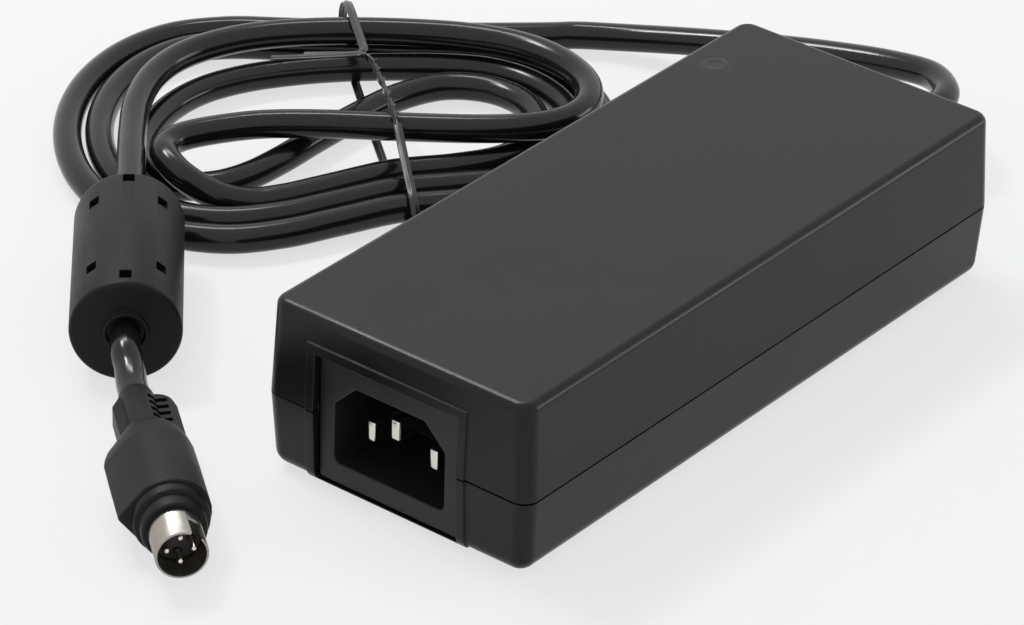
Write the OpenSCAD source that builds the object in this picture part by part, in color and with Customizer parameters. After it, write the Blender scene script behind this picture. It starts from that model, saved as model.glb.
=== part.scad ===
// Laptop power adapter: a welded two-part case with a mains inlet, the power supply inside it,
// and the low-voltage cord, which lies in a tied hank and ends in a ferrite bead and a plug.
// Millimetres. +Z is up, X is the case's width, the inlet looks to -Y, and the origin is the
// bottom centre of the case, on the surface that it stands on.

/* [Case] */
// Width of the case at its seam
case_w = 58.5; // [57:0.5:66]
// Length of the case, from the inlet end to the cord end
case_l = 138.6; // [136:0.2:150]
// Height of the case's top above the surface that it stands on
case_h = 34.5; // [34:0.5:40]
// Height of the seam between the two shells
seam_z = 15.5; // [14:0.5:17]
// How much each long side leans in from the seam to the top and to the bottom
side_draft = 0.9; // [0.2:0.1:1.2]
// How much each end leans in from the seam to the top and to the bottom
end_draft = 0.6; // [0.2:0.1:1]
// Wall thickness of both shells
wall = 2.2; // [2:0.1:2.6]
// Radius of the four upright corners
corner_r = 3; // [2:0.5:5]
// Radius along the upper edges
top_r = 1.6; // [1:0.2:2.4]
// Radius along the lower edges
bottom_r = 2.8; // [2:0.2:3.4]
// Height of the rubber feet
foot_h = 0.8; // [0.6:0.1:1.2]
// Radius of a rubber foot
foot_r = 4.5; // [3:0.5:6]

/* [Mains inlet] */
// Inlet's centre, left of the case's middle
inlet_x = -2; // [-4:0.5:2]
// Inlet's centre above the surface
inlet_z = 14.5; // [14:0.25:15.5]
// Width of the inlet's face
inlet_w = 31.2; // [30.5:0.1:32]
// Height of the inlet's face
inlet_h = 24.8; // [24.2:0.1:25.2]
// How far the inlet's face lies behind the end of the case
inlet_recess = 1.2; // [0.5:0.1:1.6]
// Width of the raised rim round the inlet
rim_w = 1.9; // [1:0.1:2.2]
// How far the rim stands out of the end of the case
rim_t = 0.4; // [0.2:0.1:0.6]
// Width of the socket
socket_w = 24.5; // [24.3:0.1:24.7]
// Height of the socket
socket_h = 16.4; // [16.2:0.1:16.6]
// Depth of the socket
socket_d = 17; // [16:0.5:18]
// Distance between the line pin and the neutral pin
pin_pitch = 14; // [13.8:0.1:14.2]

/* [Circuit board] */
// Thickness of the circuit board
board_t = 1.6; // [1.2:0.2:2]
// Height of the posts that carry the board, above the floor of the case
post_h = 3; // [2.6:0.2:3.4]

/* [Cord] */
// Diameter of the cord
cord_d = 5.6; // [5:0.1:5.8]
// Length of the tapered strain relief behind the case
relief_l = 20; // [18:1:24]
// Thickness of the twist tie
tie_t = 0.8; // [0.6:0.1:0.9]
// Width of the twist tie
tie_w = 1.7; // [1.2:0.1:2.4]

/* [Ferrite bead] */
// Diameter of the moulding round the ferrite
bead_d = 20.5; // [19.6:0.1:20.5]
// Length of the moulding round the ferrite
bead_l = 41.6; // [38:0.2:41.6]

/* [Plug] */
// Radius of the plug's grip
grip_r = 7.3; // [7:0.1:7.4]
// Outside radius of the metal shell
shell_r = 4.65; // [4.5:0.05:4.75]
// How far the metal shell stands out of the collar
shell_out = 7.3; // [6.5:0.1:7.5]

/* [Hidden] */
eps = 0.01;
fit = 0.1;
front_y = -case_l / 2;
back_y = case_l / 2;
floor_z = foot_h + wall;
ceiling_z = case_h - wall;
half_inside = case_w / 2 - side_draft - wall;
cord_r = cord_d / 2;

// Circuit board and the sheets round it
sheet_t = 0.4;
spreader_t = 0.6;
spreader_x = half_inside - 0.5;
board_z = floor_z + post_h;
board_top = board_z + board_t;
board_half = spreader_x - spreader_t - 0.5;
board_front = front_y + 24.8;
board_back = back_y - 8.3;
spreader_z = ceiling_z - 2.3;
post_x = board_half - 3.5;
post_ys = [board_front + 3.5, board_back - 3.5];

// The parts on the board are laid out from the middle of its top, for this width, this length and
// this room over it, and they follow the real board
layout = [49.1, 105.5, 22.4];
board_scale = [2 * board_half / layout[0], (board_back - board_front) / layout[1],
               (spreader_z - board_top) / layout[2]];
plate_t = 1.8;
plate_x = layout[0] / 2 - 2.1;
package_y1 = -3.25;
package_y2 = 30.75;
package_hole_z = 13.5;
screw_r = 1.5;
choke_at = [8, -25.55];
bulk_r = 9;
bulk_at = [14.5, -12.75, bulk_r + 0.3];
core_at = [-7.5, 19.75, 0];

// Inlet
inlet_y = front_y + inlet_recess;
flange_t = 3;
inlet_d = socket_d + 4;
rim_z = foot_h + 0.5;
pin_w = 2;
pin_h = 4;
live_z = inlet_z - 1.6;
earth_z = live_z + 4;

// Lens and light emitting diode
lens_x = -(case_w / 2 - 7.75);
lens_y = back_y - 19.4;
lens_r = 2.6;
led_h = 5;

// Strain relief, where it passes the wall
relief_neck_r = 4.2;

// Hank, in its own frame: u runs along its runs and v across them
hank_at = [-91.1, 20.9, 0];
hank_turn = 41.2;
low = cord_r + tie_t;
high = low + 6.1;
run_left = -20;
run_right = 24;
loops = 2;
far_start = [45, 38.5, 32];
far_end = [47.4, 40.9];
left_reach = [50.4, 44.2];
near_start = [-36, -29.2];
near_end = [-22.4, -15.6];
right_reach = [54, 47.8];
bead_u = -37.5;
bead_v = -39;
bead_z = bead_d / 2;
lead_end = [51, 45.6, low];

// Plug
plug_at = [-53, -76.5, 7.4];
plug_turn = -39;
grip_start = 21.6;
grip_end = 38.6;
collar_end = grip_end + 5.1;
mouth = collar_end + shell_out;
shell_root_r = shell_r + 0.35;
contact_ring = 2.35;

// ---------- shared functions ----------

function unit(v) = v / norm(v);

// One corner of an outline, rounded with an arc of the given radius
function corner(a, b, c, r, n) =
    let (u = unit(a - b), v = unit(c - b), half = acos(u * v) / 2)
    r <= 0 || half > 89 ? [b] :
    let (m = b + unit(u + v) * r / sin(half), from = b + u * r / tan(half) - m,
         to = b + v * r / tan(half) - m, a0 = atan2(from[1], from[0]),
         turn = atan2(from[0] * to[1] - from[1] * to[0], from * to))
    [for (i = [0:n]) m + r * [cos(a0 + turn * i / n), sin(a0 + turn * i / n)]];

// A closed outline with a radius at each of its points
function rounded(pts, radii, n = 5) =
    let (k = len(pts))
    [for (i = [0:k - 1]) each corner(pts[(i + k - 1) % k], pts[i], pts[(i + 1) % k], radii[i], n)];

function rect(w, h) = [[-w / 2, -h / 2], [w / 2, -h / 2], [w / 2, h / 2], [-w / 2, h / 2]];

// A smooth curve through points, with k steps between two of them
function smooth(p, k) =
    let (n = len(p), q = concat([2 * p[0] - p[1]], p, [2 * p[n - 1] - p[n - 2]]))
    concat([for (i = [1:n - 1], s = [0:k - 1]) blend(q[i - 1], q[i], q[i + 1], q[i + 2], s / k)],
           [p[n - 1]]);
function blend(a, b, c, d, t) =
    0.5 * (2 * b + (c - a) * t + (2 * a - 5 * b + 4 * c - d) * t * t
           + (3 * b - a - 3 * c + d) * t * t * t);

function path_length(p) =
    [for (i = [1:len(p) - 1]) norm(p[i] - p[i - 1])] * [for (i = [1:len(p) - 1]) 1];

// Closest approach of a path's points to each other, leaving out neighbours along it
function least_gap(p, skip, d) =
    min([for (i = [0:len(p) - 1 - skip], j = [i + skip:len(p) - 1]) norm(p[i] - p[j])]) - d;

// A rod between two points
module rod(a, b, r) {
    d = b - a;
    translate(a)
        rotate([0, acos(d[2] / norm(d)), atan2(d[1], d[0])])
            cylinder(h = norm(d), r = r, $fn = 24);
}

// A tube of one section along a path: half_w across it, half_t along the normal carried with it
module tube(p, half_w, half_t, sides, start_dir, end_dir) {
    n = len(p);
    dirs = [for (i = [0:n - 1])
        i == 0 ? unit(start_dir) : i == n - 1 ? unit(end_dir) : unit(p[i + 1] - p[i - 1])];
    first = unit([0, 0, 1] - dirs[0][2] * dirs[0]);
    normals = [for (i = 0, m = first; i < n;
                    i = i + 1, m = i < n ? unit(m - (m * dirs[i]) * dirs[i]) : m) m];
    points = [for (i = [0:n - 1], s = [0:sides - 1])
        p[i] + half_t * cos(360 * s / sides) * normals[i]
            + half_w * sin(360 * s / sides) * cross(dirs[i], normals[i])];
    walls = [for (i = [0:n - 2], s = [0:sides - 1])
        let (a = i * sides + s, b = i * sides + (s + 1) % sides)
        each [[a, a + sides, b], [b, a + sides, b + sides]]];
    last = (n - 1) * sides;
    caps = [for (s = [1:sides - 2]) each [[0, s, s + 1], [last, last + s + 1, last + s]]];
    polyhedron(points, concat(walls, caps));
}

// ---------- case ----------

// The case's outside, or with an inset the space inside it
module case_body(inset) {
    intersection() {
        linear_extrude(case_h + 1)
            polygon(rounded(rect(case_w - 2 * inset, case_l - 2 * inset),
                            [for (i = [0:3]) max(corner_r - inset, 0.8)]));
        rotate([90, 0, 0])
            linear_extrude(case_l + 2, center = true)
                polygon(side_outline(case_w / 2 - inset, side_draft, inset));
        rotate([90, 0, 90])
            linear_extrude(case_w + 2, center = true)
                polygon(side_outline(case_l / 2 - inset, end_draft, inset));
    }
}

function side_outline(half, lean, inset) =
    let (low_z = foot_h + inset, top_z = case_h - inset,
         rb = max(bottom_r - inset, 0.6), rt = max(top_r - inset, 0.5))
    rounded([[-half + lean, low_z], [half - lean, low_z], [half, seam_z], [half - lean, top_z],
             [-half + lean, top_z], [-half, seam_z]], [rb, rb, 0, rt, rt, 0]);

// The joining rib that stands on the lower shell's edge, and the groove for it in the upper one
module seam_rib(outer, height) {
    translate([0, 0, seam_z - eps])
        linear_extrude(height + eps)
            difference() {
                polygon(rounded(rect(case_w - 2 * outer, case_l - 2 * outer), [2, 2, 2, 2]));
                polygon(rounded(rect(case_w - 2 * wall, case_l - 2 * wall), [1, 1, 1, 1]));
            }
}

module inlet_opening() {
    translate([inlet_x - inlet_w / 2 - 0.25, front_y - 5, inlet_z - inlet_h / 2 - 0.25])
        cube([inlet_w + 0.5, inlet_recess + flange_t + 5, inlet_h + 0.5]);
}

// The raised rim round the opening, which follows the end of the case
module inlet_rim() {
    intersection() {
        case_body(-rim_t);
        translate([inlet_x - inlet_w / 2 - 0.25 - rim_w, front_y - 2, rim_z])
            cube([inlet_w + 0.5 + 2 * rim_w, 3.2, inlet_z + inlet_h / 2 + 0.25 + rim_w - rim_z]);
    }
}

module relief_hole() {
    translate([0, back_y + 5, seam_z])
        rotate([90, 0, 0])
            cylinder(h = wall + 10, r = relief_neck_r, $fn = 48);
}

module upper_shell() {
    color("#464648")
        difference() {
            union() {
                case_body(0);
                inlet_rim();
            }
            case_body(wall);
            translate([-case_w, -case_l, -1])
                cube([2 * case_w, 2 * case_l, seam_z + 1]);
            seam_rib(wall / 2 - fit, 1.6);
            inlet_opening();
            relief_hole();
            translate([lens_x, lens_y, ceiling_z - 1])
                cylinder(h = wall + 2, r = lens_r, $fn = 48);
        }
}

module lower_shell() {
    color("#3c3c3e") {
        difference() {
            union() {
                difference() {
                    union() {
                        case_body(0);
                        inlet_rim();
                    }
                    case_body(wall);
                    translate([-case_w, -case_l, seam_z])
                        cube([2 * case_w, 2 * case_l, case_h]);
                }
                seam_rib(wall / 2, 1.5);
            }
            inlet_opening();
            relief_hole();
        }
        for (x = [-post_x, post_x], y = post_ys)
            translate([x, y, floor_z - 0.5]) {
                cylinder(h = post_h + 0.5, r = 2.5, $fn = 32);
                cylinder(h = post_h + board_t + 1.1, r = 1.1, $fn = 32);
            }
        for (s = [-1, 1])
            translate([inlet_x + s * (inlet_w / 2 - 0.95) - 0.95, inlet_y + flange_t, floor_z - 0.5])
                cube([1.9, 2, 9.5]);
    }
}

module foot(sx, sy) {
    color("#202020")
        translate([sx * (case_w / 2 - 9.5), sy * (case_l / 2 - 11), 0])
            cylinder(h = foot_h, r = foot_r, $fn = 48);
}

module indicator_lens() {
    color("#5d605e")
        translate([lens_x, lens_y, 0]) {
            translate([0, 0, ceiling_z - 0.8])
                cylinder(h = 0.8, r = lens_r + 1, $fn = 48);
            translate([0, 0, ceiling_z - eps])
                cylinder(h = wall - 0.1, r = lens_r, $fn = 48);
            translate([0, 0, board_top + led_h])
                cylinder(h = ceiling_z - board_top - led_h - 0.5, r = 1.4, $fn = 32);
        }
}

module status_led() {
    color("#e8e8e0")
        translate([lens_x, lens_y, board_top]) {
            cylinder(h = 1, r = 1.9, $fn = 32);
            cylinder(h = led_h, r = 1.5, $fn = 32);
        }
}

// ---------- mains inlet ----------

function socket_outline() =
    let (x = socket_w / 2, z = socket_h / 2, c = 4.6)
    [[-x, -z], [x, -z], [x, z - c], [x - c, z], [-x + c, z], [-x, z - c]];

module inlet_body() {
    color("#1c1c1e")
        difference() {
            union() {
                translate([inlet_x, inlet_y + flange_t, inlet_z])
                    rotate([90, 0, 0])
                        linear_extrude(flange_t)
                            polygon(rounded(rect(inlet_w, inlet_h), [1, 1, 1, 1]));
                translate([inlet_x - 13.5, inlet_y + 1, inlet_z - 10.2])
                    cube([27, inlet_d - 1, 20.4]);
            }
            translate([inlet_x, inlet_y + socket_d, inlet_z])
                rotate([90, 0, 0])
                    linear_extrude(socket_d + 1)
                        polygon(rounded(socket_outline(), [1.2, 1.2, 0.6, 0.6, 0.6, 0.6], 3));
            for (p = [[-pin_pitch / 2, live_z], [pin_pitch / 2, live_z], [0, earth_z]])
                translate([inlet_x + p[0] - pin_w / 2, inlet_y + socket_d - 1, p[1] - pin_h / 2])
                    cube([pin_w, 6, pin_h]);
        }
}

// A blade with a chamfered tip and, behind the inlet, a thinner tab with a hole for its wire
module inlet_pin(x, z, recess) {
    tip = inlet_y + recess;
    root = inlet_y + inlet_d;
    color("#c9c9c6")
        difference() {
            union() {
                translate([inlet_x + x - pin_w / 2, 0, z])
                    rotate([90, 0, 90])
                        linear_extrude(pin_w)
                            polygon([[tip, -1], [tip + 1.2, -pin_h / 2], [root, -pin_h / 2],
                                     [root, pin_h / 2], [tip + 1.2, pin_h / 2], [tip, 1]]);
                translate([inlet_x + x - 0.4, root - eps, z - pin_h / 2])
                    cube([0.8, 5, pin_h]);
            }
            translate([inlet_x + x - 2, root + 3.6, z + 0.6])
                rotate([0, 90, 0])
                    cylinder(h = 4, r = 0.7, $fn = 24);
        }
}

// A short wire from a tab's lower edge to the board
module inlet_wire(x, z, shade) {
    y = inlet_y + inlet_d + 3.6;
    color(shade)
        translate([inlet_x + x, y, board_top])
            cylinder(h = z - pin_h / 2 - board_top, r = 0.7, $fn = 24);
}

// ---------- circuit board and its parts ----------

module circuit_board() {
    color("#2f6b3c")
        difference() {
            translate([-board_half, board_front, board_z])
                cube([2 * board_half, board_back - board_front, board_t]);
            for (x = [-post_x, post_x], y = post_ys)
                translate([x, y, board_z - 1])
                    cylinder(h = board_t + 2, r = 1.1 + fit, $fn = 32);
        }
}

module insulation_sheet() {
    color("#e6dfc8")
        difference() {
            translate([-spreader_x, board_front, floor_z])
                cube([2 * spreader_x, board_back - board_front, sheet_t]);
            for (x = [-post_x, post_x], y = post_ys)
                translate([x, y, floor_z - 1])
                    cylinder(h = 3, r = 2.5 + fit, $fn = 32);
        }
}

module on_board() {
    translate([0, (board_front + board_back) / 2, board_top])
        scale(board_scale)
            children();
}

module fuse() {
    color("#5a3d2a")
        translate([-17, -44.55, 0]) {
            cylinder(h = 7.5, r = 4.25, $fn = 40);
            translate([0, 0, 7.5 - eps])
                cylinder(h = 0.4, r = 3.4, $fn = 40);
        }
}

// A disc on two leads, standing across the given direction
module disc_part(at, r, t, shade, turn) {
    color(shade)
        translate(at)
            rotate([0, 0, turn]) {
                translate([-t / 2, 0, r + 2])
                    rotate([0, 90, 0])
                        cylinder(h = t, r = r, $fn = 40);
                for (s = [-1, 1])
                    translate([0, s * 2.5, 0])
                        cylinder(h = r, r = 0.4, $fn = 16);
            }
}

module thermistor() {
    disc_part([-17, -33.55, 0], 5, 4.2, "#3b3f45", 90);
}

module y_capacitor(y) {
    disc_part([-3, y, 0], 4, 3.5, "#3d6aa8", 0);
}

module x_capacitor() {
    color("#d8c24a")
        translate([-5, -47.35, 0])
            cube([18, 8.4, 15]);
}

module choke_core() {
    color("#46604e")
        translate([choke_at[0], choke_at[1], 1.2])
            rotate_extrude($fn = 48)
                translate([6, 0])
                    square([5, 8]);
}

// Two windings, each on its own third of the ring
module choke_winding() {
    color("#b5692f")
        translate([choke_at[0], choke_at[1], 0])
            for (a = [35, 215])
                rotate([0, 0, a])
                    rotate_extrude(angle = 110, $fn = 48)
                        difference() {
                            translate([4.8, 0])
                                square([7.4, 10.4]);
                            translate([6, 1.2])
                                square([5, 8]);
                        }
}

module bridge_rectifier() {
    color("#26262a")
        translate([-22, -24.15, 0]) {
            translate([0, 0, 2])
                cube([17, 3.8, 13]);
            for (i = [0:3])
                translate([2 + i * 4.2, 1.4, 0])
                    cube([1, 1, 2.1]);
        }
}

// The sleeve is crimped near one end
module bulk_capacitor() {
    color("#2b3550")
        translate(bulk_at)
            rotate([-90, 0, 0])
                rotate_extrude($fn = 64)
                    polygon([[0, 0], [bulk_r - 0.8, 0], [bulk_r, 0.8], [bulk_r, 2.2], [bulk_r - 0.7, 3],
                             [bulk_r, 3.8], [bulk_r, 33.4], [bulk_r - 0.6, 34], [0, 34]]);
}

module adhesive_pad() {
    color("#e9e9e4")
        difference() {
            translate([bulk_at[0] - 5, bulk_at[1] + 8, 0])
                cube([10, 18, 2]);
            translate([bulk_at[0], bulk_at[1] - 1, bulk_at[2]])
                rotate([-90, 0, 0])
                    cylinder(h = 36, r = bulk_r, $fn = 64);
        }
}

// A plate on the board with a folded foot and the hole for its transistor's screw
module heatsink(side, y0, length, height, hole_y) {
    color("#b8bcc0")
        difference() {
            union() {
                translate([side * plate_x - (side > 0 ? plate_t : 0), y0, 0])
                    cube([plate_t, length, height]);
                translate([side * plate_x - (side > 0 ? 4 : 0), y0, height - plate_t])
                    cube([4, length, plate_t]);
            }
            translate([side * plate_x - 5, hole_y, package_hole_z])
                rotate([0, 90, 0])
                    cylinder(h = 10, r = screw_r + fit, $fn = 32);
        }
}

// A transistor package: metal tab against the heatsink, moulded body and three legs
module power_package(side, y) {
    face = plate_x - plate_t;
    color("#2c2c30")
        difference() {
            union() {
                translate([side > 0 ? face - 1.3 : -face, y - 5, 4])
                    cube([1.3, 10, 12.6]);
                translate([side > 0 ? face - 4.5 : -face, y - 5, 3])
                    cube([4.5, 10, 7]);
                for (i = [-1:1])
                    translate([(side > 0 ? face - 3 : -face + 2.2), y + i * 2.54 - 0.4, 0])
                        cube([0.8, 0.8, 3.1]);
            }
            translate([side * face - 5, y, package_hole_z])
                rotate([0, 90, 0])
                    cylinder(h = 10, r = screw_r + fit, $fn = 32);
        }
}

module heatsink_screws() {
    color("#c4c6c8")
        for (p = [[-1, package_y1], [1, package_y2]])
            translate([0, p[1], package_hole_z])
                rotate([0, 90 * p[0], 0]) {
                    translate([0, 0, plate_x - plate_t - 1.3 - 2])
                        cylinder(h = 2, r = 2.8, $fn = 32);
                    translate([0, 0, plate_x - plate_t - 1.4])
                        cylinder(h = plate_t + 1.4 + 2.2, r = screw_r, $fn = 32);
                }
}

module heatsink_nuts() {
    color("#b4b6b8")
        for (p = [[-1, package_y1], [1, package_y2]])
            translate([0, p[1], package_hole_z])
                rotate([0, 90 * p[0], 0])
                    translate([0, 0, plate_x])
                        difference() {
                            cylinder(h = 1.8, r = 3.1, $fn = 6);
                            translate([0, 0, -1])
                                cylinder(h = 4, r = screw_r, $fn = 32);
                        }
}

// Two E-shaped halves closed round a middle leg
module transformer_core() {
    color("#4a4644")
        translate(core_at)
            difference() {
                translate([-6, -14, 0])
                    cube([12, 28, 19]);
                for (s = [-1, 1])
                    translate([-7, s * 6.75 - 2.75, 4])
                        cube([14, 5.5, 11]);
            }
}

module transformer_bobbin() {
    color("#6b2f24")
        translate(core_at)
            difference() {
                union() {
                    translate([-6.8, -4.8, 4])
                        cube([13.6, 9.6, 11]);
                    for (z = [4, 14.2])
                        translate([-10.8, -9.5, z])
                            cube([21.6, 19, 0.8]);
                }
                translate([-6, -4, 3])
                    cube([12, 8, 13]);
            }
}

module transformer_winding() {
    color("#d9b23a")
        translate(core_at)
            difference() {
                translate([-10.2, -8.9, 4.8])
                    cube([20.4, 17.8, 9.4]);
                translate([-6.8, -4.8, 4])
                    cube([13.6, 9.6, 11]);
            }
}

module controller_chip() {
    color("#1e1e20")
        translate([-13.5, -4.25, 0])
            cube([5, 6, 1.6]);
}

module optocoupler() {
    color("#e4e4e0")
        translate([-17.8, 36.55, 0])
            cube([4.6, 6.5, 3.6]);
}

// A can with a crimp near its foot and a scored top
module output_capacitor(x) {
    color("#3a2f52")
        translate([x, 42.75, 0])
            difference() {
                rotate_extrude($fn = 48)
                    polygon([[0, 0], [5, 0], [5, 1.6], [4.5, 2.2], [5, 2.8], [5, 20.2], [4.6, 20.8],
                             [0, 20.8]]);
                for (a = [0, 90])
                    rotate([0, 0, a])
                        translate([-3, -0.2, 20.5])
                            cube([6, 0.4, 1]);
            }
}

module output_inductor() {
    color("#b5692f")
        translate([13.8, 44.75, 0]) {
            cylinder(h = 1.2, r = 4.5, $fn = 40);
            cylinder(h = 12, r = 3.8, $fn = 40);
            translate([0, 0, 10.8])
                cylinder(h = 1.2, r = 4.5, $fn = 40);
        }
}

// A folded aluminium sheet over the parts, its legs outside the board's edges
module heat_spreader() {
    y0 = board_front + 4;
    length = lens_y - 8 - y0;
    color("#c8ccd0") {
        translate([-spreader_x, y0, spreader_z])
            cube([2 * spreader_x, length, spreader_t]);
        for (s = [-1, 1])
            translate([s * (spreader_x - spreader_t / 2) - spreader_t / 2, y0, floor_z + sheet_t])
                cube([spreader_t, length, spreader_z - floor_z - sheet_t + eps]);
    }
}

module output_wire(side, shade) {
    foot_at = [side * 3, board_back - 2.5, board_top];
    bend = foot_at + [0, 0, 4.5];
    relief_end = [side * 1.6, back_y - wall - 2, seam_z];
    color(shade) {
        rod(foot_at, bend, 1);
        rod(bend - [0, 0, 0.5], relief_end - [0, 1.2, 0], 1);
        rod(relief_end - [0, 1.8, 0], relief_end, 1);
    }
}

// ---------- cord ----------

// The collar grips the wall from both sides, and the tail tapers in steps to the cord
module strain_relief() {
    steps = 5;
    tail = [for (i = [0:steps - 1])
        let (y = 2 + i * (relief_l - 3) / steps, r = 5.6 - i * 0.32)
        each [[r, y], [r - 0.1, y + 2], [r - 1, y + 2.1], [r - 1, y + 3.1]]];
    color("#141415")
        translate([0, back_y, seam_z])
            rotate([-90, 0, 0])
                rotate_extrude($fn = 48)
                    polygon(concat([[0, -wall - 2.3], [6, -wall - 2.3], [6, -wall - 0.3],
                                    [relief_neck_r, -wall - 0.3],
                                    [relief_neck_r, 0], [6, 0], [6, 1.6]], tail,
                                   [[cord_r + 0.9, relief_l - 0.6], [cord_r + 0.4, relief_l],
                                    [0, relief_l]]));
}

function to_world(p) =
    hank_at + [p[0] * cos(hank_turn) - p[1] * sin(hank_turn),
               p[0] * sin(hank_turn) + p[1] * cos(hank_turn), p[2]];

relief_tip = [0, back_y + relief_l, seam_z];
lead_points = [
    relief_tip, relief_tip + [0, 5.6, 0], relief_tip + [-2.5, 11, -0.3], relief_tip + [-9, 15.5, -1],
    [-19, 105.6, 13], [-31, 104.2, 11.2], [-43, 101.8, 9.4], [-55, 98.8, 7.5], [-66, 95.9, 5.6],
    [-75, 92.9, 4.2], to_world(lead_end)
];

module cord_lead() {
    route = smooth(lead_points, 2);
    echo(cord_lead_length = path_length(route));
    color("#0e0e0f")
        tube(route, cord_r, cord_r, 10, [0, 1, 0], [-cos(hank_turn), -sin(hank_turn), 0]);
}

function ease(a, b, t) = a + (b - a) * (1 - cos(180 * t)) / 2;

// One loop of the hank: far run, left turn, near run and right turn, in six stretches of four rings
function loop_point(i, k, t) =
    let (q = 90 * t, ml = (far_end[i] + near_start[i]) / 2, mr = (near_end[i] + far_start[i + 1]) / 2,
         la = left_reach[i] + run_left, ra = right_reach[i] - run_right)
    k == 0 ? [run_right + (run_left - run_right) * t, ease(far_start[i], far_end[i], t), low] :
    k == 1 ? [run_left - la * sin(q), ml + (far_end[i] - ml) * cos(q), low] :
    k == 2 ? [run_left - la * cos(q), ml - (ml - near_start[i]) * sin(q), low] :
    k == 3 ? [run_left + (run_right - run_left) * t, ease(near_start[i], near_end[i], t), low] :
    k == 4 ? [run_right + ra * sin(q), mr - (mr - near_end[i]) * cos(q), low] :
             [run_right + ra * cos(q), mr + (far_start[i + 1] - mr) * sin(q), low];

// After its outer loops the cord crosses the hank, turns back, and runs round once more on top
cross_over = [
    [24, 32, low], [14, 32.1, low], [4, 31.6, low], [-6, 30, low], [-16, 27, low], [-24.5, 22, low],
    [-30.8, 14.5, low], [-34.8, 5, low], [-36, -4, low], [-34.3, -11, low], [-29, -15.6, low],
    [-22, -15.6, low], [-15.5, -12, low], [-9, -5.5, low], [-2, 3, low], [6, 12, low],
    [14, 19.5, low], [23, 24, low], [32, 22.8, low], [38.5, 17, low], [40.9, 8.5, low],
    [39.1, 0.6, low], [33, -5.4, low], [24, -8.6, low], [12, -11, low], [0, -16.5, low],
    [-9, -20.6, low], [-16, -22.4, low + 0.3], [-22.5, -22.4, low + 2.2], [-27.8, -20.2, low + 4.6],
    [-31, -16, high], [-31.2, -11.6, high], [-28, -7.6, high]
];
top_round = [
    [-21, -4.6, high], [-12, -2.6, high], [0, -2.5, high], [14, -3.6, high], [28, -4.3, high],
    [38, -3.6, high], [45.5, -0.6, high], [50, 5.5, high], [50.5, 14, high], [46.5, 22.5, high],
    [39.5, 29, high], [30, 33, high], [18, 35, high], [3, 35.6, high], [-10, 34.3, high],
    [-20, 31, high], [-28.5, 25, high], [-34, 16.5, high], [-36.8, 6, high], [-37.5, -5, high],
    [-37.6, -16, high + 0.3], [bead_u, -26, high + 0.5], [bead_u, bead_v + 5.6, bead_z],
    [bead_u, bead_v, bead_z]
];
hank_start = [lead_end, [45.4, 45.3, low], [38, 45.1, low], [31, 45, low]];

function hank_route(k) = concat(
    hank_start,
    [for (i = [0:loops - 1], part = [0:5], s = [0:3]) loop_point(i, part, s / 4)],
    smooth(concat(cross_over, top_round), k));

module cord_hank() {
    fine = hank_route(4);
    echo(cord_hank_length = path_length(fine));
    echo(cord_hank_least_gap = least_gap(smooth(hank_route(1), 3), 12, cord_d));
    color("#0e0e0f")
        translate(hank_at)
            rotate([0, 0, hank_turn])
                tube(hank_route(2), cord_r, cord_r, 6, [-1, 0, 0], [0, -1, 0]);
}

bead_back = to_world([bead_u, bead_v, bead_z]);
bead_dir = [sin(hank_turn), -cos(hank_turn), 0];
plug_dir = [cos(plug_turn), sin(plug_turn), 0];
tail_points = [
    bead_back + bead_l * bead_dir, bead_back + (bead_l + 5.6) * bead_dir - [0, 0, 0.1],
    plug_at - 7.5 * plug_dir + [-0.4, 0.6, 1.3], plug_at - 4 * plug_dir + [0, 0, 0.3], plug_at
];

module cord_tail() {
    route = smooth(tail_points, 3);
    echo(cord_tail_length = path_length(route));
    color("#0e0e0f")
        tube(route, cord_r, cord_r, 10, bead_dir, plug_dir);
}

// Puts a part that was made along +Z onto the bead's axis, its foot at the bead's back end
module on_bead() {
    translate(bead_back)
        rotate([90, 0, hank_turn])
            children();
}

module cord_in_bead() {
    color("#0e0e0f")
        on_bead()
            cylinder(h = bead_l, r = cord_r, $fn = 48);
}

module ferrite_core() {
    color("#3a3a3c")
        on_bead()
            translate([0, 0, 4])
                difference() {
                    cylinder(h = bead_l - 8, r = bead_d / 2 - 2, $fn = 64);
                    translate([0, 0, -1])
                        cylinder(h = bead_l, r = cord_r + 0.3, $fn = 48);
                }
}

// The moulding round the ferrite, with three short slots near each end and a lip round the cord
module bead_moulding() {
    r = bead_d / 2;
    color("#1f1f20")
        on_bead()
            difference() {
                rotate_extrude($fn = 72)
                    polygon([[cord_r, 0], [r - 2, 0], [r - 0.9, 0.3], [r - 0.3, 0.9], [r, 2],
                             [r, bead_l - 1], [r - 0.3, bead_l - 0.3], [r - 1, bead_l],
                             [cord_r + 1.5, bead_l], [cord_r + 1.3, bead_l + 0.7],
                             [cord_r + 0.7, bead_l + 0.7], [cord_r + 0.6, bead_l - 0.3],
                             [cord_r, bead_l - 0.3]]);
                translate([0, 0, 4])
                    cylinder(h = bead_l - 8, r = r - 2, $fn = 64);
                for (z = [5.6, bead_l - 5.6], a = [-45, 0, 45])
                    rotate([0, 0, a])
                        translate([-1.75, r - 1.2, z - 0.9])
                            cube([3.5, 3, 1.8]);
            }
}

// ---------- plug ----------

// Puts a part that was made along +Z onto the plug's axis: its X looks down and its Y to the right
module on_plug() {
    translate(plug_at)
        rotate([0, 90, plug_turn])
            children();
}

// Section of the grip: round, with one pointed side
function grip_outline(r) =
    let (round_side = [for (a = [128:-12:-88]) r * [-sin(a), cos(a)]])
    rounded(concat(round_side, [[r, -0.44 * r], [-0.03 * r, -1.26 * r]]),
            concat([for (p = round_side) 0], [1.2, 0.9]), 3);

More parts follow.
